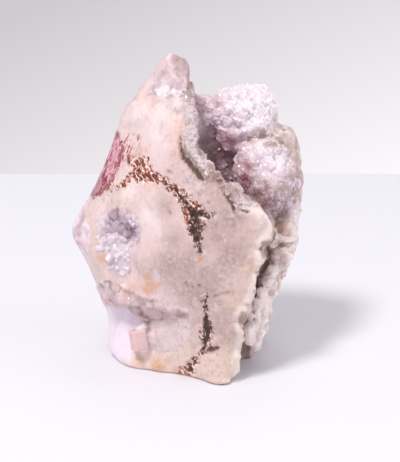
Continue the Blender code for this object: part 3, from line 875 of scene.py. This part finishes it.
def geodeQuartz():
    # massive pink amethyst, ground smooth in front: milky quartz that light sinks a few
    # millimetres into, with iron stains, brown breccia in its seams and a rough rind elsewhere
    looks = stoneLooks
    material = newMaterial("ground pink amethyst")
    add = partial(addNode, material.node_tree)

    def mask(name, most=1.0):
        found = add("attribute", attribute_name=name)
        return found if most == 1.0 else add("multiply", found, most)

    def lay(name, colour, source, *span):
        # a look laid over a colour where the source is high, or as it goes through a span
        return add("blend", add("remap", source, *span) if span else source, colour, looks[name])

    def over(name, colour, most=1.0):
        return lay(name, colour, mask(name, most))

    place = add("place")
    cloud = add("noise", place, perMm(20), 3, 0.5, 0.6)
    mottle = add("noise", place, perMm(5), 5, 0.65, 0.4)
    grain = add("noise", place, perMm(1.3), 3, 0.65)
    polished = mask("polished")
    unground = add("remap", polished, 0.9, 0.4)

    # the ground face: pink that darkens to the right, partly painted shade where it turns from the
    # light, with soft tints and fine specks
    # darker to the right: partly painted shade
    side = add("remap", add("xOf", place), -22 * mm, 16 * mm, 0.0, 0.22)
    tone = add("add", add("add", cloud, side), add("multiply", mottle, 0.5))
    # paler and warmer towards the foot: partly its own cream, partly painted light on the less lit lower
    # face
    colour = over("low", add("ramp", tone, stops=looks["bodyTones"]), 0.75)
    uneven = add("remap", mottle, 0.3, 0.62, 0.35, 1.0)
    for name, most in looks["tintStrength"].items():
        tint = add("multiply", add("multiply", mask(name), uneven), most)
        colour = lay(name, colour, tint)
    colour = lay("pale", colour, mottle, 0.53, 0.66, 0.0, 0.4)
    colour = lay("dusky", colour, mottle, 0.47, 0.36, 0.0, 0.4)
    dusk = add("remap", tone, 0.75, 1.0, 0.2, 1.0)
    for start, end, most, speck in looks["specks"]:
        shown = add("multiply", add("remap", grain, start, end, 0.0, most), dusk)
        colour = add("blend", shown, colour, speck)
    colour = over("edge", colour, 0.55)

    # the rind, the rim, clear quartz and the far wall
    coarse = add("multiply", add("noise", place, perMm(17), 5, 0.6, 0.8), 0.5)
    fine = add("multiply", add("noise", place, perMm(3), 6, 0.7), 0.5)
    rind = add("ramp", add("add", fine, coarse), stops=looks["rindTones"])
    rind = lay("rust", rind, add("noise", place, perMm(11), 5, 0.65, 1.0), 0.56, 0.68, 0.0, 0.4)
    colour = add("blend", add("remap", polished, 0.2, 0.7), rind, colour)
    rim = over("white", add("ramp", grain, stops=looks["rimTones"]), 0.8)
    colour = add("blend", mask("rim"), colour, rim)
    quartz = mask("quartz")
    # pale quartz, lifted as painted light in the shaded recess and ledge
    clear = over("paleAndPaintedLight", add("ramp", mottle, stops=looks["clearTones"]))
    clear = over("ledge", clear, 0.6)
    colour = add("blend", add("remap", quartz, 0.2, 0.7), colour, clear)
    # the far wall: pale quartz, partly painted light where the slab shades it
    colour = add("blend", mask("wall"), colour, add("ramp", mottle, stops=looks["wallTones"]))
    # painted shade between the blocks
    colour = over("shadeBetweenBlocks", colour, 0.55)
    # browner quartz off the ground face, and painted shade in the crevice and under its edge
    colour = lay("brown", colour, add("multiply", mask("brown"), add("subtract", 1.0, polished)))
    whiteLine = add("add", mask("whiteLine"), add("remap", mottle, 0.35, 0.65, -1.2, 0.6))
    # the brown lines are partly painted shade in gaps and crevices
    brownLine = mask("brownLine")
    for line, start, name in ((whiteLine, -0.8, "whiteLine"), (brownLine, -0.9, "brownLine")):
        shown = add("multiply", add("remap", line, start, 0.6, 0.0, 0.75), unground)
        colour = lay(name, colour, shown)

    # under the druzy, with the hollow's painted shade and deeper purple, and iron stains on the face
    lining = over("deep", looks["lining"])
    lining = add("blend", mask("matrix"), lining, add("ramp", mottle, stops=looks["matrixTones"]))
    colour = over("pocketLined", add("blend", mask("lined"), colour, lining))
    stain = add("multiply", mask("ochre"), add("noise", place, perMm(2.6), 5, 0.7, 1.0))
    colour = lay("ochre", colour, stain, 0.1, 0.5, 0.0, 0.65)

    # brown breccia: rusty flakes, darkest in the veins' cores, with ragged edges
    ragged = add("subtract", add("noise", place, perMm(2), 4, 0.75, 0.8), 0.5)
    ragged = add("multiply", ragged, 7.0)
    slanted = add("slant", place, (0, -0.6, 0), (0.8, 1.0, 2.4))
    core = mask("core")
    darker = add("remap", core, -0.8, 0.8, 0.0, 0.15)
    chips = add("subtract", add("noise", slanted, perMm(1.5), 3, 0.7, 1.2), darker)
    flakes = add(
        "blend", add("remap", core, -1.5, 0.3),
        add("ramp", chips, stops=looks["rustTones"]), add("ramp", chips, stops=looks["veinTones"]),
    )
    vein = add("remap", add("add", mask("vein"), ragged), -0.1, 0.25)
    colour = add("blend", vein, colour, flakes)

    # hematite, streaked along the slab's edge, darker at its outline and low down
    hematite = mask("hematite")
    streaky = add("slant", place, (0, 0.42, 0), (0.6, 1.0, 2.2))
    red = add("ramp", add("noise", streaky, perMm(3), 6, 0.75, 0.25), stops=looks["redTones"])
    outline = add("add", hematite, add("multiply", ragged, 0.5))
    red = lay("redEdge", red, outline, 1.5, 0.5, 0.0, 0.85)
    red = lay("redTip", red, add("zOf", place), 68 * mm, 58 * mm, 0.0, 0.4)
    colour = add("blend", add("remap", add("add", hematite, ragged), -0.3, 0.4), colour, red)
    thin = add("remap", add("noise", streaky, perMm(1.7), 3, 0.7), 0.5, 0.58)
    streaks = add("multiply", add("remap", mask("streaks"), -1.5, 1.5), thin)
    colour = lay("streaks", colour, streaks)
    crack = add("add", mask("crack"), add("multiply", ragged, 0.4))
    colour = lay("crackEdge", colour, crack, -0.8, 0.4, 0.0, 0.75)
    colour = lay("crack", colour, crack, 0.0, 0.5, 0.0, 0.85)

    rough = add("remap", polished, 0.2, 0.8, looks["roughRaw"], looks["roughPolished"])
    bumpHeight = add("add", add("multiply", grain, 0.6), add("noise", place, perMm(0.7), 2))
    bumpStrength = add("remap", polished, 0.2, 0.8, 0.7, 0.2)
    shader = add("shader", {
        "Base Color": colour, "Roughness": rough, "IOR": 1.544,
        "Normal": add("bump", bumpHeight, bumpStrength, looks["bumpDepth"] * mm),
        "Subsurface Weight": add("add", add("multiply", quartz, 0.5), 0.3),
        "Subsurface Radius": (1.0, 0.75, 0.72), "Subsurface Scale": looks["sinkDepth"] * mm,
        "Coat Weight": 0.15, "Coat Roughness": 0.12, "Coat IOR": 1.5,
    })
    add("output", shader)
    return material


stoneBody = shapeStone()
stoneBody.data.materials.append(geodeQuartz())
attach(stoneBody, "root")
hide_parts("stone")
print("stone shaped:", len(stoneBody.data.polygons), "faces")

crystals = {
    "sides": 6,
    "kinds": 6,  # different points, each modelled once
    "tipLean": 0.35,
    "shaft": 1.2,
    "narrowest": 0.7,  # of a crystal across its flat side, as a share of its width
    "mostFaces": 95000,  # of a welded piece
    "fewestPoints": 60,  # of a loose part that is kept
    "glint": "#fdf8fc",  # of the palest of them
}


def crystalPoint(kind, rises):
    # one quartz point of unit radius: six faces of a prism under six uneven faces of a tip
    dice = random.Random(100 + kind)
    rise = dice.uniform(*rises)
    deselectAll()
    bpy.ops.mesh.primitive_cone_add(vertices=crystals["sides"], radius1=1, radius2=0, depth=rise)
    obj = bpy.context.object
    bpy.ops.object.mode_set(mode="EDIT")
    bpy.ops.mesh.select_all(action="DESELECT")
    shape = bmesh.from_edit_mesh(obj.data)
    for face in shape.faces:
        face.select = face.normal.z < -0.9
    bmesh.update_edit_mesh(obj.data)
    bpy.ops.mesh.extrude_region_move(TRANSFORM_OT_translate={"value": (0, 0, -crystals["shaft"])})
    bpy.ops.object.mode_set(mode="OBJECT")
    places, _ = meshArrays(obj)
    tip = places[:, 2] > rise * 0.4
    lean = crystals["tipLean"]
    places[tip, :2] += [dice.uniform(-lean, lean), dice.uniform(-lean, lean)]
    places[:, 2] += rise / 2
    faces = [tuple(face.vertices) for face in obj.data.polygons]
    mesh = obj.data
    bpy.data.objects.remove(obj)
    bpy.data.meshes.remove(mesh)
    return places, faces


def scatter(obj, wanted, spacing, seed):
    # places about evenly spread over the faces where wanted is high, with their normals
    dice = np.random.default_rng(seed)
    obj.data.calc_loop_triangles()
    triangles = np.empty(len(obj.data.loop_triangles) * 3, np.int32)
    obj.data.loop_triangles.foreach_get("vertices", triangles)
    triangles = triangles.reshape(-1, 3)
    places, normals = meshArrays(obj)
    corners = places[triangles]
    first, second = corners[:, 1] - corners[:, 0], corners[:, 2] - corners[:, 0]
    area = np.linalg.norm(np.cross(first, second), axis=1) / 2
    weight = area * np.clip(wanted[triangles].mean(axis=1), 0, 1)
    tries = int(weight.sum() / (spacing * mm) ** 2 * 6)
    picked = dice.choice(len(triangles), size=tries, p=weight / weight.sum())
    share = np.sort(dice.random((tries, 2)), axis=1)
    share = np.stack([share[:, 0], share[:, 1] - share[:, 0], 1 - share[:, 1]], axis=1)
    points = (corners[picked] * share[:, :, None]).sum(axis=1)
    facing = (normals[triangles[picked]] * share[:, :, None]).sum(axis=1)
    facing /= np.linalg.norm(facing, axis=1)[:, None]
    kept = thinned(points, spacing)
    return points[kept], facing[kept]


def growCrystals(name, points, axes, radii, stands, lengths, seed, rises):
    # joins one crystal for each point; stands are how far the shoulder is above the point
    dice = random.Random(seed)
    kinds = [crystalPoint(kind, rises) for kind in range(crystals["kinds"])]
    allPlaces, allFaces, count = [], [], 0
    for point, axis, radius, stand, length in zip(points, axes, radii, stands, lengths):
        places, faces = kinds[dice.randrange(len(kinds))]
        turn = Vector(axis).to_track_quat("Z", "Y").to_matrix()
        turn = turn @ Matrix.Rotation(dice.uniform(0, math.tau), 3, "Z")
        grown = places * [radius, radius * dice.uniform(crystals["narrowest"], 1.0), radius]
        grown[:, 2] = np.where(places[:, 2] < -0.1, -length, grown[:, 2]) + stand
        allPlaces.append(grown @ np.array(turn).T * mm + point)
        allFaces.extend(tuple(index + count for index in face) for face in faces)
        count += len(places)
    mesh = bpy.data.meshes.new(name)
    mesh.from_pydata(np.concatenate(allPlaces).tolist(), [], allFaces)
    mesh.update()
    return addObject(name, mesh)


def druzeOver(name, wanted, settings):
    seed = settings["seed"]
    points, normals = scatter(stoneBody, wanted, settings["spacing"], seed)
    dice = np.random.default_rng(seed)
    axes = normals + dice.normal(size=normals.shape) * settings["lean"]
    onRim = smoothStep(depthInside(toView(points), zones["rim"]), -0.5, 0.5)
    share = 1 - onRim * (1 - settings.get("rimShare", 1.0))
    radii = dice.uniform(*settings["radius"], len(points)) * share
    stands = dice.uniform(*settings["stand"], len(points)) * share
    stands += onRim * settings.get("rimRise", 0.0)
    return growCrystals(name, points, axes, radii, stands, radii * 2, seed, settings["tip"])


def joinInto(obj, others):
    makeActive(obj)
    for other in others:
        other.select_set(True)
    bpy.ops.object.join()


def dropCrumbs(obj):
    # specks that the weld left loose are taken away
    makeActive(obj)
    bpy.ops.object.mode_set(mode="EDIT")
    bpy.ops.mesh.select_all(action="SELECT")
    bpy.ops.mesh.separate(type="LOOSE")
    bpy.ops.object.mode_set(mode="OBJECT")
    parts = [other for other in bpy.context.selected_objects if other != obj]
    crumbs = [part for part in parts if len(part.data.vertices) < crystals["fewestPoints"]]
    kept = [part for part in parts if part not in crumbs]
    for crumb in crumbs:
        bpy.data.objects.remove(crumb)
    print("loose parts kept:", len(kept) + 1, "first has", len(obj.data.vertices), "points")
    if kept:
        joinInto(obj, kept)


def weld(obj, settings):
    # crystals that have grown together become one solid
    applyModifier(obj, "REMESH", mode="VOXEL", voxel_size=settings["voxel"] * mm)
    if len(obj.data.polygons) > crystals["mostFaces"]:
        applyModifier(obj, "DECIMATE", ratio=crystals["mostFaces"] / len(obj.data.polygons))
    dropCrumbs(obj)
    makeActive(obj)
    bpy.ops.object.shade_smooth_by_angle(angle=math.radians(settings["corner"]))


def stoneValues(name):
    data = stoneBody.data.attributes[name].data
    values = np.empty(len(data), np.float32)
    data.foreach_get("value", values)
    return values


def druzyCrystal(name, looks):
    # amethyst druzy: small clear to lavender quartz points with glassy faces, darker deep in the hollow,
    # where shade is painted into their colour along with a deeper purple
    material = newMaterial(name)
    add = partial(addNode, material.node_tree)
    place = add("place")
    paler = add("remap", add("noise", place, perMm(2.2)), 0.45, 0.62, 0.0, 0.7)
    colour = add("blend", paler, looks["pale"], crystals["glint"])
    patch = add("remap", add("noise", place, perMm(6)), 0.45, 0.65, 0.0, 0.4)
    colour = add("blend", patch, colour, looks["patch"])
    # deep is painted shade in the hollow and the pocket, and the pink block's own colour among the
    # broken crystals
    for mask in ("earthyAndShade", "deep"):
        colour = add("blend", add("attribute", attribute_name=mask), colour, looks[mask])
    shader = add("shader", {
        "Base Color": colour, "IOR": 1.544, "Roughness": 0.15,
        "Transmission Weight": looks["clear"], "Subsurface Weight": looks["milk"],
        "Subsurface Radius": (1.0, 0.85, 0.95), "Subsurface Scale": 1.2 * mm,
    })
    add("output", shader)
    return material


hollow = {
    "spacing": 0.92, "radius": (0.6, 1.25), "stand": (-0.75, -0.1), "lean": 0.3, "seed": 3,
    "tip": (0.75, 1.25),  # height for each unit of radius
    "voxel": 0.3,
    "corner": 25,  # degrees past which an edge stays sharp
    "rimShare": 0.7,  # size of the crystals on the rim, as a share of the others
    "rimRise": 0.25,
    # earthy and deep are partly painted shade in the hollow
    "pale": "#fbf0f8", "patch": "#e6cfdd", "earthyAndShade": "#a68a80", "deep": "#96485b",
    "clear": 0.05, "milk": 0.5,
}


def growHollow():
    lined = stoneValues("lined") * (1 - stoneValues("matrix") * 0.3)
    ground = np.maximum(lined, stoneValues("rim") * 0.8)
    ground *= 1 - stoneValues("white")
    obj = druzeOver("hollow_crystals", np.where(ground > 0.5, ground, 0), hollow)
    print("hollow crystals before welding:", len(obj.data.polygons), "faces")
    weld(obj, hollow)
    places, _ = meshArrays(obj)
    shown = toView(places)
    rim = smoothStep(depthInside(shown, zones["rim"]), -0.6, 0.8)
    # deep: painted shade in the hollow, with a deeper purple
    setAttribute(obj, "deep", hollowShadeAndPurpleAt(places))
    # earthy: browner crystal on the rim and matrix, and painted shade in creases and on the balls' lower
    # sides
    setAttribute(obj, "earthyAndShade", np.maximum.reduce([
        patches(shown, brownDruzeAndShade) * 0.8,
        rim * (0.45 + 0.5 * patches(shown, brownQuartzAndShade)),
        # painted shade in the creases between the balls
        smoothStep(lineStrength(shown, creases), -2, 0.5) * 0.4,
        smoothStep(lineStrength(shown, brownAndShadeLines), -1.2, 0.6) * 0.8,
        smoothStep(depthInside(shown, zones["matrix"]), -1, 1) * 0.3,
    ]))
    obj.data.materials.append(druzyCrystal("lavender quartz druzy", hollow))
    return obj


hollowCrystals = growHollow()
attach(hollowCrystals, "root")
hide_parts("hollow_druzy")
print("hollow lined:", len(hollowCrystals.data.polygons), "faces")

pocket = {
    "spacing": 1.15, "radius": (0.7, 1.35), "stand": (-0.6, 0.3), "lean": 0.54, "seed": 5,
    "tip": (0.35, 0.6),
    "voxel": 0.25,
    "corner": 20,
    "middle": (-23.7, 46.0),  # of the flower of blades, as a view point
    "blades": 22,
    "bladeSeed": 6,
    "bladeTurn": 2.4,  # from each blade to the next, in radians
    "bladeRadius": (0.9, 1.9),
    "bladeStand": (0.3, 1.6),
    "bladeRoot": 3,  # how deep a blade is sunk in
    "bladeReach": (1.8, 5.6),  # from the middle of the flower to a blade's root
    "bladeSplay": 1.1,  # how far the blades lean out from the middle
    # darker places, painted shade at the flower's hollow middle and on its right side, and browner
    # places, the one on the right partly painted shadow too; as view points with a radius and a strength
    "dark": [(-23.7, 46.0, 1.5, 0.3), (-19.5, 43, 2.2, 0.5)],
    "brown": [(-24.5, 49.5, 4.5), (-19, 45, 3.5)],
    # deep here is the colour of the pocket's painted shade; earthy is partly painted shadow
    "pale": "#f9eff6", "patch": "#e6cfdd", "earthyAndShade": "#c9adba", "deep": "#9c7a8c",
    "clear": 0.15, "milk": 0.6,
}


def growBlades(dice):
    # the flower's blades stand round a hollow middle and lean out from it
    tree = BVHTree.FromObject(stoneBody, bpy.context.evaluated_depsgraph_get())
    _, upward = viewAxes()
    nearest, furthest = pocket["bladeReach"]
    roots, leans = [], []
    for blade in range(pocket["blades"]):
        turn = blade * pocket["bladeTurn"] + dice.uniform(-0.3, 0.3)
        far = nearest + (furthest - nearest) * math.sqrt(blade / pocket["blades"])
        out = np.array([math.cos(turn), math.sin(turn)])
        place, facing = surfaceAt(tree, *(np.array(pocket["middle"]) + out * far * [0.95, 1.0]))
        roots.append(np.array(place))
        away = out[0] * np.array([1.0, 0, 0]) + out[1] * upward
        leans.append(np.array(facing) + away * pocket["bladeSplay"] * dice.uniform(0.5, 1.0))
    radii = dice.uniform(*pocket["bladeRadius"], len(roots))
    stands = dice.uniform(*pocket["bladeStand"], len(roots))
    lengths = stands + pocket["bladeRoot"]
    seed = pocket["bladeSeed"]
    return growCrystals("blades", roots, leans, radii, stands, lengths, seed, pocket["tip"])


def growPocket():
    seed = pocket["seed"]
    dice = np.random.default_rng(seed)
    lined = stoneValues("pocketLined") > 0.6
    points, normals = scatter(stoneBody, lined, pocket["spacing"], seed)
    outer = np.linalg.norm(toView(points) - pocket["middle"], axis=1) > pocket["bladeReach"][1]
    points, normals = points[outer], normals[outer]
    axes = normals + dice.normal(size=normals.shape) * pocket["lean"]
    radii = dice.uniform(*pocket["radius"], len(points))
    stands = dice.uniform(*pocket["stand"], len(points))
    obj = growCrystals(
        "pocket_crystals", points, axes, radii, stands, radii * 2, seed, pocket["tip"]
    )
    joinInto(obj, [growBlades(dice)])
    weld(obj, pocket)
    shown = toView(meshArrays(obj)[0])
    # painted shade in the pocket
    setAttribute(obj, "deep", patches(shown, pocket["dark"]))
    setAttribute(obj, "earthyAndShade", patches(shown, pocket["brown"]))
    obj.data.materials.append(druzyCrystal("clear quartz points", pocket))
    return obj


pocketCrystals = growPocket()
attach(pocketCrystals, "root")
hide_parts("pocket_druzy")
print("pocket lined:", len(pocketCrystals.data.polygons), "faces")

broken = {
    "spacing": 1.9, "radius": (1.1, 2.1), "stand": (-1.5, -0.7), "lean": 0.3, "seed": 8,
    "tip": (0.35, 0.6),
    "voxel": 0.3,
    "corner": 20,
    "lowest": 3,  # none are set below this height
    "blockMiddle": (-16.4, -11.1, 11.0),  # of the pink block in the ledge's recess
    "blockRadius": 3.6,
    "blockHeight": 7.0,
    "blockTurn": (-0.2, -0.1, 0.25),
    "blockEdge": 0.5,
    "blockReach": (5, 5, 7),  # its own colour reaches this far from its middle
    "blockClear": 6.5,  # no other crystals this close round it
    # stout crystals beside the slab's right edge, as view points
    "beside": [
        (26.6, 27.6), (28.6, 25.4), (24.8, 24.4), (27.4, 21.9), (23.6, 20.6), (25.9, 18.6), (23.0, 16.8),
        (25.3, 14.7), (22.3, 12.9), (24.4, 10.6), (23.2, 7.4), (28.8, 31.5), (20.7, 16), (20.3, 12.6),
    ],
    "besideRadius": (1.7, 2.6),
    "besideFront": (-17.0, 1.1),  # y of a crystal at 22 mm right, and how much more for each mm right
    "besideAxis": (0.2, -0.6, 0.8),
    "besideLean": 0.22,
    "besideStand": (-0.5, 1),
    "besideLength": (4, 9),
    "besideSeed": 9,
    # earthy colours browner crystals, partly painted shadow under the face's edge
    "pale": "#f5e8e3", "patch": "#dac2bb", "earthyAndShade": "#8f7670", "deep": "#dcaeb2",
    "clear": 0.05, "milk": 0.6,
}


def growBeside():
    dice = np.random.default_rng(broken["seed"])
    front, further = broken["besideFront"]
    points = np.array(
        [placeAt(right, up, front + (right - 22) * further) for right, up in broken["beside"]]
    )
    axes = np.array(broken["besideAxis"]) + dice.normal(size=points.shape) * broken["besideLean"]
    radii = dice.uniform(*broken["besideRadius"], len(points))
    lengths = np.clip(points[:, 2] * 0.8, *broken["besideLength"])
    stands = dice.uniform(*broken["besideStand"], len(points))
    seed = broken["besideSeed"]
    return growCrystals("beside", points * mm, axes, radii, stands, lengths, seed, broken["tip"])


def growBlock():
    deselectAll()
    bpy.ops.mesh.primitive_cylinder_add(
        vertices=5, radius=broken["blockRadius"] * mm, depth=broken["blockHeight"] * mm,
        location=Vector(broken["blockMiddle"]) * mm, rotation=broken["blockTurn"],
    )
    bpy.ops.object.transform_apply(location=True, rotation=True, scale=True)
    bpy.ops.object.mode_set(mode="EDIT")
    bpy.ops.mesh.select_all(action="SELECT")
    bpy.ops.mesh.bevel(offset=broken["blockEdge"] * mm, segments=2)
    bpy.ops.object.mode_set(mode="OBJECT")
    return bpy.context.object


def growBroken():
    # stout clear crystals where the stone broke through quartz: the ledge, its recess, the far side
    places, _ = meshArrays(stoneBody)
    shown = toView(places)
    wanted = np.maximum(stoneValues("quartz"), stoneValues("wall") * (stoneValues("lined") < 0.2))
    wanted *= depthInside(shown, zones["peak"]) < -2
    wanted *= (stoneValues("paleAndPaintedLight") < 0.6) * (stoneValues("edge") < 0.3)
    wanted *= places[:, 2] > broken["lowest"] * mm
    wanted *= (wanted > 0.6) * (stoneValues("polished") < 0.2)
    middle = toView(np.array([broken["blockMiddle"]]) * mm)[0]
    wanted *= np.linalg.norm(shown - middle - [0, 1.5], axis=1) > broken["blockClear"]
    obj = druzeOver("broken_crystals", wanted, broken)
    joinInto(obj, [growBeside(), growBlock()])
    weld(obj, broken)
    places, _ = meshArrays(obj)
    shown = toView(places)
    blockGap = np.linalg.norm((places / mm - broken["blockMiddle"]) / broken["blockReach"], axis=1)
    ledge = smoothStep(depthInside(shown, zones["ledge"]), -2, 0.5)
    setAttribute(obj, "deep", np.maximum(1 - smoothStep(blockGap, 0.9, 1.1), ledge) * 0.6)
    # browner crystals, partly painted shadow under the face's edge
    setAttribute(obj, "earthyAndShade", patches(shown, brownQuartzAndShade) * 0.85)
    obj.data.materials.append(druzyCrystal("broken clear quartz", broken))
    return obj


brokenCrystals = growBroken()
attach(brokenCrystals, "root")
print("broken quartz set:", len(brokenCrystals.data.polygons), "faces")
